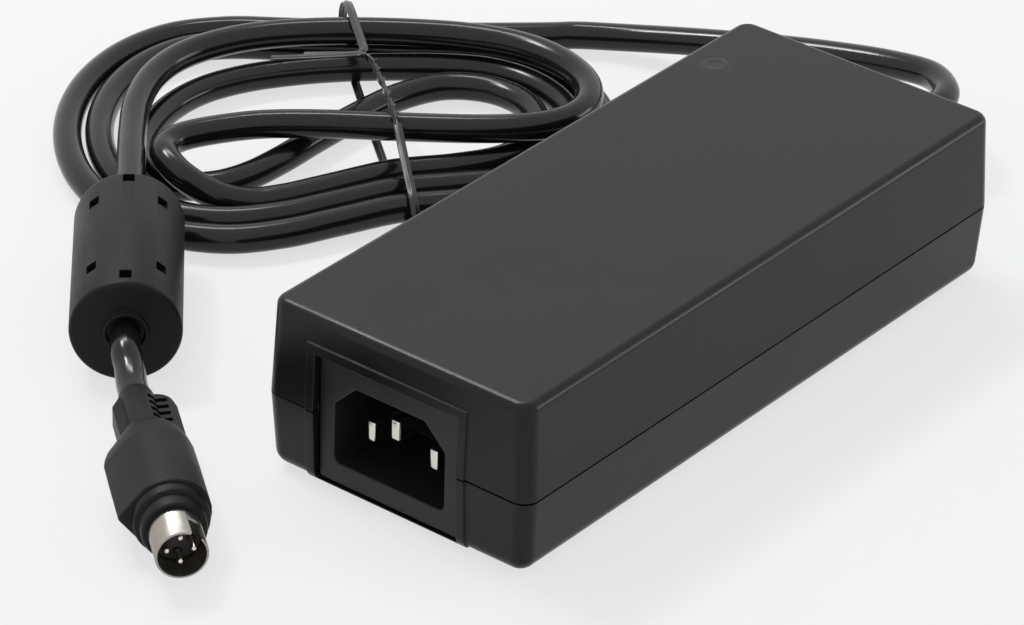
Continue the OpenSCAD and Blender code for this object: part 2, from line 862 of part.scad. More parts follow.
module plug_grip() {
    color("#232324")
        on_plug()
            difference() {
                union() {
                    translate([0, 0, grip_start])
                        linear_extrude(grip_end - grip_start)
                            polygon(grip_outline(grip_r));
                    rotate_extrude($fn = 64)
                        polygon([[0, 0], [3.1, 0], [3.3, 1], [3.5, 12.5], [4.6, 13.6], [5.9, 15.6],
                                 [6.8, 18.2], [grip_r - 0.1, grip_start], [grip_r - 0.1, grip_end - 1],
                                 [7, grip_end - 1], [7, grip_end + 2.2], [5.8, grip_end + 2.4],
                                 [5.7, collar_end], [0, collar_end]]);
                    translate([-2.2, -3.6, 1.2])
                        cube([4.4, 9.8, 14.5]);
                }
                for (i = [0:4])
                    translate([-2.6, 2.6, 2.6 + i * 2.2])
                        cube([1.6, 4, 1.1]);
                translate([0, 0, collar_end - 6])
                    cylinder(h = 10, r = shell_root_r, $fn = 64);
            }
}

// The metal shell, whose wider root sits in the collar
module plug_shell() {
    color("#d6d6d2")
        on_plug()
            difference() {
                union() {
                    translate([0, 0, collar_end - 6])
                        cylinder(h = 6, r = shell_root_r, $fn = 64);
                    translate([0, 0, collar_end - 1])
                        cylinder(h = shell_out + 1, r = shell_r, $fn = 64);
                }
                translate([0, 0, collar_end - 7])
                    cylinder(h = mouth - collar_end + 9, r = shell_r - 0.4, $fn = 64);
                rotate([0, 0, 145])
                    translate([2, -1.1, mouth - 5])
                        cube([4, 2.2, 6]);
            }
}

module plug_insulator() {
    color("#161616")
        on_plug()
            difference() {
                translate([0, 0, collar_end - 6])
                    cylinder(h = mouth - collar_end + 6 - 5.2, r = shell_r - 0.4, $fn = 64);
                for (a = [0:90:270])
                    rotate([0, 0, a])
                        translate([contact_ring, 0, collar_end - 7])
                            cylinder(h = 12, r = 0.55, $fn = 24);
            }
}

module plug_contacts() {
    color("#dcdcd6")
        on_plug()
            for (a = [0:90:270])
                rotate([0, 0, a])
                    translate([contact_ring, 0, collar_end - 5]) {
                        cylinder(h = mouth - collar_end + 5 - 2, r = 0.55, $fn = 24);
                        translate([0, 0, mouth - collar_end + 3])
                            cylinder(h = 0.5, r1 = 0.55, r2 = 0.25, $fn = 24);
                    }
}

// ---------- twist tie ----------

// From one tail over the top, down the near side, under the runs, up the far side to the other tail
tie_points = [
    [-13, 30.4, 13.9], [-7, 31.2, 14.2], [0, 33, 14.6], [4.6, 33, 14.6], [6.6, 29, 14.1],
    [8.3, 20, 13.6], [10, 10, 13.5], [11.8, 0, 13.5], [12.8, -7, 13], [13.7, -13, 10.6],
    [14.7, -20, 8.4], [15.5, -25.6, 6.9], [16, -28.3, 4.4], [16, -28.6, 2.2], [15.6, -27.2, 0.7],
    [15, -24, tie_t / 2], [12, -9, tie_t / 2], [9, 10, tie_t / 2], [6, 30, tie_t / 2],
    [4.2, 45, tie_t / 2], [3.8, 49.6, 0.8], [3.6, 50.9, 2.8], [3.6, 50.7, 5.6], [3.8, 48.4, 8.8],
    [4.2, 43.5, 12], [4.4, 38.5, 13.3], [2.6, 34.4, 13.3], [-2, 30.5, 13], [-6.5, 28, 12.6]
];

module twist_tie() {
    n = len(tie_points);
    color("#101011")
        translate(hank_at)
            rotate([0, 0, hank_turn])
                tube(tie_points, tie_w / 2, tie_t / 2, 8,
                     tie_points[1] - tie_points[0], tie_points[n - 1] - tie_points[n - 2]);
}

// ---------- nodes ----------

upper_shell();
lower_shell();
foot(-1, -1);  // foot_front_left
foot(1, -1);  // foot_front_right
foot(-1, 1);  // foot_back_left
foot(1, 1);  // foot_back_right
indicator_lens();
status_led();
inlet_body();
inlet_pin(-pin_pitch / 2, live_z, 3.5);  // line_pin
inlet_pin(pin_pitch / 2, live_z, 3.5);  // neutral_pin
inlet_pin(0, earth_z, 1.5);  // earth_pin
inlet_wire(-pin_pitch / 2, live_z, "#6b4226");  // line_wire
inlet_wire(pin_pitch / 2, live_z, "#2f5fa8");  // neutral_wire
inlet_wire(0, earth_z, "#5f9a3a");  // earth_wire
circuit_board();
insulation_sheet();
on_board() fuse();
on_board() thermistor();
on_board() x_capacitor();
on_board() choke_core();
on_board() choke_winding();
on_board() bridge_rectifier();
on_board() y_capacitor(-11.25);  // y_capacitor_1
on_board() y_capacitor(-1.25);  // y_capacitor_2
on_board() bulk_capacitor();
on_board() adhesive_pad();
on_board() heatsink(-1, -12.25, 38, 20, package_y1);  // primary_heatsink
on_board() power_package(-1, package_y1);  // switching_transistor
on_board() transformer_core();
on_board() transformer_bobbin();
on_board() transformer_winding();
on_board() controller_chip();
on_board() optocoupler();
on_board() heatsink(1, 24.75, 22, 18, package_y2);  // secondary_heatsink
on_board() power_package(1, package_y2);  // output_rectifier
on_board() output_capacitor(4);  // output_capacitor_1
on_board() output_capacitor(-7);  // output_capacitor_2
on_board() output_inductor();
on_board() heatsink_screws();
on_board() heatsink_nuts();
heat_spreader();
output_wire(1, "#a02824");  // output_wire_positive
output_wire(-1, "#1c1c1c");  // output_wire_negative
strain_relief();
cord_lead();
cord_hank();
cord_in_bead();
cord_tail();
ferrite_core();
bead_moulding();
plug_grip();
plug_shell();
plug_insulator();
plug_contacts();
twist_tie();
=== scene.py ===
"""Laptop power adapter: the looks of the case, its cord in a tied hank, the ferrite bead and the plug.

Sizes are in millimetres, in the same frame as the part's source, and each finished mesh is in metres.
"""

import math

import bmesh
import bpy
from mathutils import Matrix, Quaternion, Vector


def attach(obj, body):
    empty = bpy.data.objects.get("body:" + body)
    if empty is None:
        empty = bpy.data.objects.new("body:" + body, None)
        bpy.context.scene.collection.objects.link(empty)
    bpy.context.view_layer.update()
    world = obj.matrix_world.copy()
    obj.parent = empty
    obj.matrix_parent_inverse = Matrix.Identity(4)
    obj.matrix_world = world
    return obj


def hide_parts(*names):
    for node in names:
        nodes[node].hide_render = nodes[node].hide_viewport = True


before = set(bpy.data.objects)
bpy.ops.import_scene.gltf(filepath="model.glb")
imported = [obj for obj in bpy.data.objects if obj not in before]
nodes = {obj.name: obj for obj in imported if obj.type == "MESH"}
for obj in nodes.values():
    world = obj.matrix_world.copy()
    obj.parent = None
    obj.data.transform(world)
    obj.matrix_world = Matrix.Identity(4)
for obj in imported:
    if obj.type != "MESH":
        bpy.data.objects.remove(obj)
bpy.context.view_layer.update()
scene = bpy.context.scene

MM = 0.001
UP = Vector((0, 0, 1))

# ---------- sizes, in millimetres ----------

CASE_W, CASE_L, CASE_H = 58.5, 138.6, 34.5
SEAM_Z = 15.5
SEAM_GAP = 0.15  # half the width of the line that shows between the shells
SIDE_DRAFT, END_DRAFT = 0.9, 0.6
WALL = 2.2
CORNER_R, TOP_R, BOTTOM_R = 3.0, 1.6, 2.8
FOOT_H, FOOT_R = 0.8, 4.5
FRONT_Y, BACK_Y = -CASE_L / 2, CASE_L / 2
POST_X, POSTS_Y = 21.05, (FRONT_Y + 28.3, BACK_Y - 11.8)  # posts that carry the board
POST_R, POST_PIN_R = 2.5, 1.1
INLET_STOP_X = 14.65  # ribs behind the inlet's flange, from the inlet's middle

INLET_X, INLET_Z = -2.0, 14.5
INLET_W, INLET_H = 31.2, 24.8
INLET_Y = FRONT_Y + 1.2
INLET_GAP = 0.25
RIM_W, RIM_T = 1.9, 0.4
SOCKET_W, SOCKET_H, SOCKET_D = 24.5, 16.4, 17.0
SOCKET_CHAMFER = 4.6
INLET_BACK = Vector((27, 21, 20.4))  # the inlet's body behind its flange
BLADE_T, BLADE_W = 2, 4
PIN_PITCH, LIVE_Z, EARTH_Z = 14.0, 12.9, 16.9

LENS = Vector((-21.5, BACK_Y - 19.4, 0))
LENS_R, LENS_GAP = 2.6, 0.04

CORD_R = 2.8
RELIEF_L, RELIEF_HOLE_R = 20.0, 4.3
BEAD_R, BEAD_L = 10.25, 41.6
TIE_T, TIE_W = 0.8, 1.7
# the twist's half turns, the steps before it starts, and the height where it ends
TIE_HALF_TURNS, TIE_TAIL, TIE_TWIST_LOW = 8, 48, 12.7

PLUG_AT = Vector((-53, -76.5, 7.4))
PLUG_TURN = math.radians(-39)
GRIP_R, GRIP_START, GRIP_END = 7.3, 21.6, 38.6
COLLAR_END = 43.7
MOUTH = 51.0
SHELL_R = 4.65
CONTACT_RING = 2.35
LADDER = [3.4 + 2.2 * i for i in range(5)]  # where the slots in the plug's own strain relief start
LADDER_SLOT = 1.1

# ---------- the cord's route, in the hank's own frame: u along its runs, v across them ----------

HANK_AT = Vector((-91.1, 20.9, 0))
HANK_TURN = math.radians(41.2)
LOW = CORD_R + TIE_T
HIGH = LOW + 6.1
RUN_LEFT, RUN_RIGHT = -20, 24
LOOPS = 2
FAR_START, FAR_END = (45, 38.5, 32), (47.4, 40.9)
LEFT_REACH, RIGHT_REACH = (50.4, 44.2), (54, 47.8)
NEAR_START, NEAR_END = (-36, -29.2), (-22.4, -15.6)
BEAD_U, BEAD_V = -37.5, -39
LEAD_POINTS = [
    (0, 89.3, 15.5), (0, 94.9, 15.5), (-2.5, 100.3, 15.2), (-9, 104.8, 14.5), (-19, 105.6, 13),
    (-31, 104.2, 11.2), (-43, 101.8, 9.4), (-55, 98.8, 7.5), (-66, 95.9, 5.6), (-75, 92.9, 4.2),
]
HANK_START = [(51, 45.6), (45.4, 45.3), (38, 45.1), (31, 45)]
CROSS_OVER = [
    (24, 32), (14, 32.1), (4, 31.6), (-6, 30), (-16, 27), (-24.5, 22), (-30.8, 14.5), (-34.8, 5),
    (-36, -4), (-34.3, -11), (-29, -15.6), (-22, -15.6), (-15.5, -12), (-9, -5.5), (-2, 3),
    (6, 12), (14, 19.5), (23, 24), (32, 22.8), (38.5, 17), (40.9, 8.5), (39.1, 0.6), (33, -5.4),
    (24, -8.6), (12, -11), (0, -16.5), (-9, -20.6),
]
CLIMB = [
    (-16, -22.4, LOW + 0.3), (-22.5, -22.4, LOW + 2.2), (-27.8, -20.2, LOW + 4.6),
    (-31, -16, HIGH), (-31.2, -11.6, HIGH), (-28, -7.6, HIGH),
]
TOP_ROUND = [
    (-21, -4.6), (-12, -2.6), (0, -2.5), (14, -3.6), (28, -4.3), (38, -3.6), (45.5, -0.6),
    (50, 5.5), (50.5, 14), (46.5, 22.5), (39.5, 29), (30, 33), (18, 35), (3, 35.6), (-10, 34.3),
    (-20, 31), (-28.5, 25), (-34, 16.5), (-36.8, 6), (-37.5, -5),
]
INTO_BEAD = [
    (-37.6, -16, HIGH + 0.3), (BEAD_U, -26, HIGH + 0.5), (BEAD_U, BEAD_V + 5.6, BEAD_R),
]
TIE_POINTS = [
    (-11, 18.5, 12.8), (-5, 18.2, 13.2), (2, 17.6, 13.9), (6.6, 17.4, 14.3), (8.6, 15.4, 14.1),
    (10, 10, 13.5), (11.8, 0, 13.5), (12.8, -7, 13), (13.7, -13, 10.6), (14.7, -20, 8.4),
    (15.5, -25.6, 6.9), (16, -28.3, 4.4), (16, -28.6, 2.2), (15.6, -27.2, 0.7), (15, -24, 0.4),
    (12, -9, 0.4), (9, 10, 0.4), (6, 30, 0.4), (4.2, 45, 0.4), (3.8, 49.6, 0.8), (3.6, 50.9, 2.8),
    (3.6, 50.7, 5.6), (3.8, 48.4, 8.8), (4.2, 43.5, 12), (4.8, 38.5, 13.2), (5.8, 31, 13.3),
    (6.8, 24, 13.3), (7, 20.6, 13.4), (5, 19.2, 13.5), (0, 19.6, 13.2), (-4.5, 20.2, 12.8),
]

HANK_FRAME = Matrix.Translation(HANK_AT) @ Matrix.Rotation(HANK_TURN, 4, "Z")
BEAD_BACK = HANK_FRAME @ Vector((BEAD_U, BEAD_V, BEAD_R))
BEAD_DIR = Vector((math.sin(HANK_TURN), -math.cos(HANK_TURN), 0))
PLUG_DIR = Vector((math.cos(PLUG_TURN), math.sin(PLUG_TURN), 0))
# These put a form that was made along +Z onto the bead's axis and onto the plug's axis
ON_BEAD = (
    Matrix.Translation(BEAD_BACK)
    @ Matrix.Rotation(HANK_TURN, 4, "Z")
    @ Matrix.Rotation(math.pi / 2, 4, "X")
)
ON_PLUG = (
    Matrix.Translation(PLUG_AT)
    @ Matrix.Rotation(PLUG_TURN, 4, "Z")
    @ Matrix.Rotation(math.pi / 2, 4, "Y")
)


def smooth(points, steps):
    """A smooth curve through points, with some steps between two of them."""
    p = [Vector(q) for q in points]
    p = [2 * p[0] - p[1]] + p + [2 * p[-1] - p[-2]]
    out = []
    for i in range(1, len(p) - 2):
        a, b, c, d = p[i - 1 : i + 3]
        for s in range(steps):
            t = s / steps
            out.append(
                0.5
                * (
                    2 * b
                    + (c - a) * t
                    + (2 * a - 5 * b + 4 * c - d) * t**2
                    + (3 * b - a - 3 * c + d) * t**3
                )
            )
    return out + [p[-2]]


def ease(a, b, t):
    return a + (b - a) * (1 - math.cos(math.pi * t)) / 2


def loop_point(i, part, t):
    """One loop of the hank: far run, left turn, near run and right turn, in six stretches."""
    sine, cosine = math.sin(math.pi / 2 * t), math.cos(math.pi / 2 * t)
    left_mid = (FAR_END[i] + NEAR_START[i]) / 2
    right_mid = (NEAR_END[i] + FAR_START[i + 1]) / 2
    left = LEFT_REACH[i] + RUN_LEFT
    right = RIGHT_REACH[i] - RUN_RIGHT
    run = RUN_RIGHT - RUN_LEFT
    return (
        (RUN_RIGHT - run * t, ease(FAR_START[i], FAR_END[i], t)),
        (RUN_LEFT - left * sine, left_mid + (FAR_END[i] - left_mid) * cosine),
        (RUN_LEFT - left * cosine, left_mid - (left_mid - NEAR_START[i]) * sine),
        (RUN_LEFT + run * t, ease(NEAR_START[i], NEAR_END[i], t)),
        (RUN_RIGHT + right * sine, right_mid - (right_mid - NEAR_END[i]) * cosine),
        (RUN_RIGHT + right * cosine, right_mid + (FAR_START[i + 1] - right_mid) * sine),
    )[part]


def cord_route():
    """The whole cord's points: lead, hank, through the bead and on to the plug."""
    loops = [
        loop_point(i, part, s / 4) for i in range(LOOPS) for part in range(6) for s in range(4)
    ]
    flat = [(u, v, LOW) for u, v in HANK_START + loops + CROSS_OVER]
    top = [(u, v, HIGH) for u, v in TOP_ROUND]
    hank = [HANK_FRAME @ Vector(p) for p in flat + CLIMB + top + INTO_BEAD]
    bead = [BEAD_BACK + BEAD_DIR * BEAD_L * i / 7 for i in range(8)]
    tail = [
        BEAD_BACK + BEAD_DIR * (BEAD_L + 5.6) - 0.1 * UP,
        PLUG_AT - 7.5 * PLUG_DIR + Vector((-0.4, 0.6, 1.3)),
        PLUG_AT - 4 * PLUG_DIR + 0.3 * UP,
        PLUG_AT,
    ]
    return smooth([Vector(p) for p in LEAD_POINTS] + hank + bead + tail, 8)


# ---------- materials ----------


def srgb(code):
    """A hex colour as the shader's linear colour."""
    parts = [int(code[i : i + 2], 16) / 255 for i in (1, 3, 5)]
    return [c / 12.92 if c <= 0.04045 else ((c + 0.055) / 1.055) ** 2.4 for c in parts] + [1]


def per_mm(size):
    """The scale of a pattern in metres whose features are this many millimetres wide."""
    return 1 / (size * MM)


def add(tree, kind, links=None, **settings):
    """A node with its settings, and with a value or a link for each named input."""
    node = tree.nodes.new(kind)
    for key, value in settings.items():
        setattr(node, key, value)
    for key, value in (links or {}).items():
        if isinstance(value, bpy.types.NodeSocket):
            tree.links.new(value, node.inputs[key])
        else:
            node.inputs[key].default_value = value
    return node


def new_material(name):
    """An empty material, its node tree, and the socket of Object coordinates."""
    material = bpy.data.materials.new(name)
    material.use_nodes = True
    tree = material.node_tree
    tree.nodes.clear()
    where = add(tree, "ShaderNodeTexCoord").outputs["Object"]
    return material, tree, where


NOISE_RANGE = (0.3, 0.7)  # most of a noise's values lie between these
WAVE_BAND = 0.314  # the width of a wave's band at a scale of 1


def surface(name, shades, rough, mottle, grain, depth, **shader):
    """A finish with two shades in soft patches, an uneven gloss, and a grain that stands out by depth.

    mottle, grain and depth are in millimetres, and rough is the least and the most roughness.
    """
    material, tree, where = new_material(name)
    patches = add(tree, "ShaderNodeTexNoise", {"Vector": where, "Scale": per_mm(mottle), "Detail": 3})
    fine = add(tree, "ShaderNodeTexNoise", {"Vector": where, "Scale": per_mm(grain), "Detail": 2})
    colour = add(
        tree,
        "ShaderNodeMix",
        {"Factor": patches.outputs["Fac"], "A": srgb(shades[0]), "B": srgb(shades[1])},
        data_type="RGBA",
    )
    gloss = add(
        tree,
        "ShaderNodeMapRange",
        {
            "Value": patches.outputs["Fac"],
            "From Min": NOISE_RANGE[0],
            "From Max": NOISE_RANGE[1],
            "To Min": rough[0],
            "To Max": rough[1],
        },
    )
    bump = add(
        tree,
        "ShaderNodeBump",
        {"Height": fine.outputs["Fac"], "Distance": depth * MM, "Strength": 1.0},
    )
    settings = {
        "Base Color": colour.outputs["Result"],
        "Roughness": gloss.outputs["Result"],
        "Normal": bump.outputs["Normal"],
    }
    settings.update(shader)
    bsdf = add(tree, "ShaderNodeBsdfPrincipled", settings)
    add(tree, "ShaderNodeOutputMaterial", {"Surface": bsdf.outputs["BSDF"]})
    return material


def banded(name, shades, band, axis, rough, **shader):
    """A finish with even bands across one axis, such as stripes, or wire that is wound side by side. The
    first shade lies in the bump's dips, so on wound wire it is painted shade between the turns.
    """
    material, tree, where = new_material(name)
    wave = add(
        tree,
        "ShaderNodeTexWave",
        {"Vector": where, "Scale": WAVE_BAND * per_mm(band), "Distortion": 0.6, "Detail": 1},
        bands_direction=axis,
    )
    colour = add(
        tree,
        "ShaderNodeMix",
        {"Factor": wave.outputs["Fac"], "A": srgb(shades[0]), "B": srgb(shades[1])},
        data_type="RGBA",
    )
    bump = add(tree, "ShaderNodeBump", {"Height": wave.outputs["Fac"], "Distance": 0.2 * band * MM})
    settings = {"Base Color": colour.outputs["Result"], "Roughness": rough, "Normal": bump.outputs["Normal"]}
    settings.update(shader)
    bsdf = add(tree, "ShaderNodeBsdfPrincipled", settings)
    add(tree, "ShaderNodeOutputMaterial", {"Surface": bsdf.outputs["BSDF"]})
    return material


# ABS from a spark-eroded mould: a fine even grain breaks up reflections, so broad faces look a flat
# dark grey and only the rounded edges carry a bright line
CASE = surface(
    "abs_moulded_spark_eroded", ("#121213", "#171719"), (0.25, 0.33), 14, 0.45, 0.012,
    **{"Specular IOR Level": 0.24},
)
# glass-filled nylon: a little more matt than the case and slightly mottled by the flow of the melt
INLET = surface(
    "nylon_moulded_inlet", ("#19191b", "#202022"), (0.36, 0.44), 8, 0.5, 0.004,
    **{"Specular IOR Level": 0.34},
)
# soft rubber: nearly no gloss, with a gritty surface
RUBBER = surface("rubber_moulded_foot", ("#141414", "#1b1b1b"), (0.75, 0.85), 2, 0.25, 0.02)
# smoked clear plastic, flush with the case: as dark as the case, with a slightly sharper gloss
LENS_MAT = surface(
    "polycarbonate_smoked_lens", ("#121313", "#1f2120"), (0.22, 0.3), 1.5, 0.8, 0.006,
    **{"Specular IOR Level": 0.29},
)
# plasticised PVC from a smooth die: wet-looking, with long crisp highlights that waver a little
PVC_CORD = surface(
    "pvc_extruded_cord", ("#131314", "#18181a"), (0.13, 0.2), 18, 2.5, 0.02,
    **{"Specular IOR Level": 0.34},
)
# the same PVC from a mould with a satin finish: soft, with faint patches
PVC_DULL = surface(
    "pvc_moulded_overmould", ("#131314", "#1a1a1b"), (0.42, 0.52), 9, 0.5, 0.012,
    **{"Specular IOR Level": 0.18},
)
# drawn brass under bright nickel: a warm silver with slight haze from handling
NICKEL = surface("brass_nickel_plated", ("#d8d4cc", "#e0ddd6"), (0.16, 0.24), 3, 0.6, 0.001, Metallic=1.0)
# the same plating on a drawn tube, rubbed by use, which gives it wide soft reflections; its colour is greyer
# than the pins' nickel, painted shade that dims its highlight
NICKEL_RUBBED_PAINTED_SHADE = surface("brass_nickel_tube", ("#98938a", "#a8a49b"), (0.28, 0.4), 2, 0.6, 0.003, Metallic=1.0)
# phenolic: a brownish black with fine filler specks and little gloss
PHENOLIC = surface("phenolic_moulded_insulator", ("#141210", "#1e1915"), (0.45, 0.55), 1.2, 0.3, 0.006)
# thin PVC over a wire: black with a satin gloss that glints where the strip is twisted
TIE = surface("pvc_coated_tie_wire", ("#151516", "#1c1c1d"), (0.26, 0.36), 3, 0.4, 0.008)

# ---------- shapes ----------


def add_object(name, data):
    obj = bpy.data.objects.new(name, data)
    scene.collection.objects.link(obj)
    return obj


def finish(bm, name, material, replaced=(), place=None, bevel=0, segments=2, sharp=35):
    """Turns a form in millimetres into a piece in metres, with small rounded edges where asked."""
    if place is not None:
        bmesh.ops.transform(bm, matrix=place, verts=bm.verts)
    bmesh.ops.remove_doubles(bm, verts=bm.verts, dist=0.0005)
    bmesh.ops.recalc_face_normals(bm, faces=bm.faces)
    bmesh.ops.scale(bm, vec=(MM, MM, MM), verts=bm.verts)
    mesh = bpy.data.meshes.new(name)
    bm.to_mesh(mesh)
    bm.free()
    mesh.materials.append(material)
    mesh.shade_smooth()
    obj = add_object(name, mesh)
    if bevel:
        edge = obj.modifiers.new("small_edges", "BEVEL")
        edge.width = bevel * MM
        edge.segments = segments
        edge.limit_method = "ANGLE"
        edge.angle_limit = math.radians(sharp)
        edge.use_clamp_overlap = False
        flat = obj.modifiers.new("flat_faces", "WEIGHTED_NORMAL")
        flat.keep_sharp = True
    else:
        mesh.set_sharp_from_angle(angle=math.radians(sharp))
    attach(obj, "root")
    if replaced:
        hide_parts(*replaced)
    return obj


def combine(base, tools, operation="DIFFERENCE"):
    """Cuts the tools from a form, or joins them to it."""
    mesh = bpy.data.meshes.new("base")
    base.to_mesh(mesh)
    base.free()
    body = add_object("base", mesh)
    others = []
    for tool in tools:
        bmesh.ops.recalc_face_normals(tool, faces=tool.faces)
        other_mesh = bpy.data.meshes.new("tool")
        tool.to_mesh(other_mesh)
        tool.free()
        other = add_object("tool", other_mesh)
        others.append(other)
        cut = body.modifiers.new("cut", "BOOLEAN")
        cut.operation = operation
        cut.solver = "EXACT"
        cut.object = other
    seen = body.evaluated_get(bpy.context.evaluated_depsgraph_get())
    result = bmesh.new()
    result.from_mesh(seen.to_mesh())
    for obj in [body] + others:
        old = obj.data
        bpy.data.objects.remove(obj)
        bpy.data.meshes.remove(old)
    return result


def join(bm, other):
    """Adds another form's mesh to a form as it is."""
    mesh = bpy.data.meshes.new("joined")
    other.to_mesh(mesh)
    other.free()
    bm.from_mesh(mesh)
    bpy.data.meshes.remove(mesh)
    return bm


def block(low, high):
    """A block between two corners."""
    bm = bmesh.new()
    low, high = Vector(low), Vector(high)
    bmesh.ops.create_cube(bm, size=1)
    bmesh.ops.scale(bm, vec=high - low, verts=bm.verts)
    bmesh.ops.translate(bm, vec=(low + high) / 2, verts=bm.verts)
    return bm


def rod(radius, length, sides=48, at=(0, 0, 0), turn=None):
    """A rod from at, along +Z or turned."""
    bm = bmesh.new()
    bmesh.ops.create_cone(
        bm, cap_ends=True, segments=sides, radius1=radius, radius2=radius, depth=length
    )
    bmesh.ops.translate(bm, vec=(0, 0, length / 2), verts=bm.verts)
    if turn:
        bmesh.ops.transform(bm, matrix=Matrix.Rotation(turn[0], 4, turn[1]), verts=bm.verts)
    bmesh.ops.translate(bm, vec=at, verts=bm.verts)
    return bm


def round_edges(bm, test, radius, segments):
    """Rounds the edges whose two ends pass the test."""
    edges = [e for e in bm.edges if test(e.verts[0].co, e.verts[1].co)]
    bmesh.ops.bevel(
        bm,
        geom=edges,
        offset=radius,
        offset_type="OFFSET",
        segments=segments,
        profile=0.5,
        affect="EDGES",
        clamp_overlap=False,
        material=-1,
    )
    bmesh.ops.remove_doubles(bm, verts=bm.verts, dist=0.01)


def turned(profile, sides=72):
    """A form spun round Z from points (radius, height) that start and end on the axis."""
    bm = bmesh.new()
    verts = [bm.verts.new((r, 0, z)) for r, z in profile]
    edges = [bm.edges.new(pair) for pair in zip(verts, verts[1:])]
    bmesh.ops.spin(
        bm,
        geom=verts + edges,
        cent=(0, 0, 0),
        axis=(0, 0, 1),
        angle=2 * math.pi,
        steps=sides,
        use_merge=True,
    )
    bmesh.ops.remove_doubles(bm, verts=bm.verts, dist=0.001)
    bmesh.ops.recalc_face_normals(bm, faces=bm.faces)
    return bm


def loft(rings):
    """A closed form that is extruded from the first ring of points through the others."""
    bm = bmesh.new()
    face = bm.faces.new([bm.verts.new(p) for p in rings[0]])
    for ring in rings[1:]:
        made = bmesh.ops.extrude_face_region(bm, geom=[face])
        face = next(g for g in made["geom"] if isinstance(g, bmesh.types.BMFace))
        for vert, point in zip(face.verts, ring):
            vert.co = point
    bmesh.ops.recalc_face_normals(bm, faces=bm.faces)
    return bm


def tapered_block(low, half_low, high, half_high):
    """A block between two heights, with its own half width and half length at each."""
    bm = bmesh.new()
    bmesh.ops.create_cube(bm, size=2)
    for vert in bm.verts:
        half, z = (half_high, high) if vert.co.z > 0 else (half_low, low)
        vert.co = (vert.co.x * half[0], vert.co.y * half[1], z)
    return bm


# ---------- case ----------

SEAM_HALF = Vector((CASE_W / 2, CASE_L / 2))
LEAN = Vector((SIDE_DRAFT, END_DRAFT))


def case_block(end_z, seam_end, inset, corner, edge, segments):
    """Half of the case between its seam and its top or bottom, or the space inside it."""
    at_seam = SEAM_HALF - Vector((inset, inset))
    full = (CASE_H if end_z > SEAM_Z else FOOT_H) - SEAM_Z
    at_end = at_seam - LEAN * ((end_z - SEAM_Z) / full)
    if end_z > SEAM_Z:
        bm = tapered_block(seam_end, at_seam, end_z, at_end)
    else:
        bm = tapered_block(end_z, at_end, seam_end, at_seam)
    round_edges(bm, lambda a, b: abs(a.z - b.z) > 1, corner, segments)
    round_edges(bm, lambda a, b: abs(a.z - end_z) + abs(b.z - end_z) < 0.01, edge, segments)
    return bm


def front_line(z, out):
    """Y of the front end's surface at a height, moved out by some amount."""
    span = CASE_H - SEAM_Z if z > SEAM_Z else SEAM_Z - FOOT_H
    y = FRONT_Y + END_DRAFT * abs(z - SEAM_Z) / span
    round_z = FOOT_H + BOTTOM_R
    if z < round_z:
        reach = BOTTOM_R + out
        y += BOTTOM_R - math.sqrt(reach**2 - (round_z - z) ** 2)
        return y
    return y - out


def inlet_rim(heights):
    """The raised rim round the inlet, between the lowest and the highest of these heights."""
    profile = [(front_line(z, RIM_T), z) for z in heights]
    inside = FRONT_Y + 1.9
    profile += [(inside, heights[-1]), (inside, heights[0])]
    reach = INLET_W / 2 + INLET_GAP + RIM_W
    return loft([[(INLET_X + s * reach, y, z) for y, z in profile] for s in (-1, 1)])


def case_openings():
    """Tools for the inlet's opening, the strain relief's hole and the lens's hole."""
    half_w, half_h = INLET_W / 2 + INLET_GAP, INLET_H / 2 + INLET_GAP
    return [
        block(
            (INLET_X - half_w, FRONT_Y - 8, INLET_Z - half_h),
            (INLET_X + half_w, INLET_Y + 3.0, INLET_Z + half_h),
        ),
        rod(RELIEF_HOLE_R, 12, at=(0, BACK_Y - 8, SEAM_Z), turn=(-math.pi / 2, "X")),
        rod(LENS_R + LENS_GAP, 10, sides=64, at=LENS + 28 * UP),
    ]


def make_case():
    rim_top = INLET_Z + INLET_H / 2 + INLET_GAP + RIM_W
    upper = case_block(CASE_H, SEAM_Z + SEAM_GAP, 0, CORNER_R, TOP_R, 8)
    upper = combine(upper, [inlet_rim([SEAM_Z + SEAM_GAP, rim_top])], "UNION")
    groove_half = SEAM_HALF - Vector((1.05, 1.05))
    groove = tapered_block(10, groove_half, 17.1, groove_half)
    inside = case_block(CASE_H - WALL, 10, WALL, 0.8, 0.5, 3)
    upper = combine(upper, [inside, groove] + case_openings())
    finish(upper, "case_upper", CASE, ["upper_shell"], bevel=0.18, segments=3)

    lower = case_block(FOOT_H, SEAM_Z - SEAM_GAP, 0, CORNER_R, BOTTOM_R, 8)
    heights = [FOOT_H + 0.5, 1.9, 2.6, 3.6, SEAM_Z - SEAM_GAP]
    lower = combine(lower, [inlet_rim(heights)], "UNION")
    inside = case_block(FOOT_H + WALL, 20, WALL, 0.8, 0.6, 3)
    lower = combine(lower, [inside] + case_openings())
    rib_half = SEAM_HALF - Vector((1.15, 1.15))
    rib = tapered_block(SEAM_Z - 1, rib_half, 17.0, rib_half)
    rib_in = SEAM_HALF - Vector((WALL, WALL))
    rib = combine(rib, [tapered_block(10, rib_in, 20, rib_in)] + case_openings())
    join(lower, rib)
    for x in (-POST_X, POST_X):
        for y in POSTS_Y:
            join(lower, rod(POST_R, 3.5, 32, (x, y, 2.5)))
            join(lower, rod(POST_PIN_R, 6.2, 32, (x, y, 2.5)))
    for x in (INLET_X - INLET_STOP_X, INLET_X + INLET_STOP_X):
        join(lower, block((x - 0.95, INLET_Y + 3, 2.5), (x + 0.95, INLET_Y + 5, 12)))
    finish(lower, "case_lower", CASE, ["lower_shell"], bevel=0.18, segments=3)


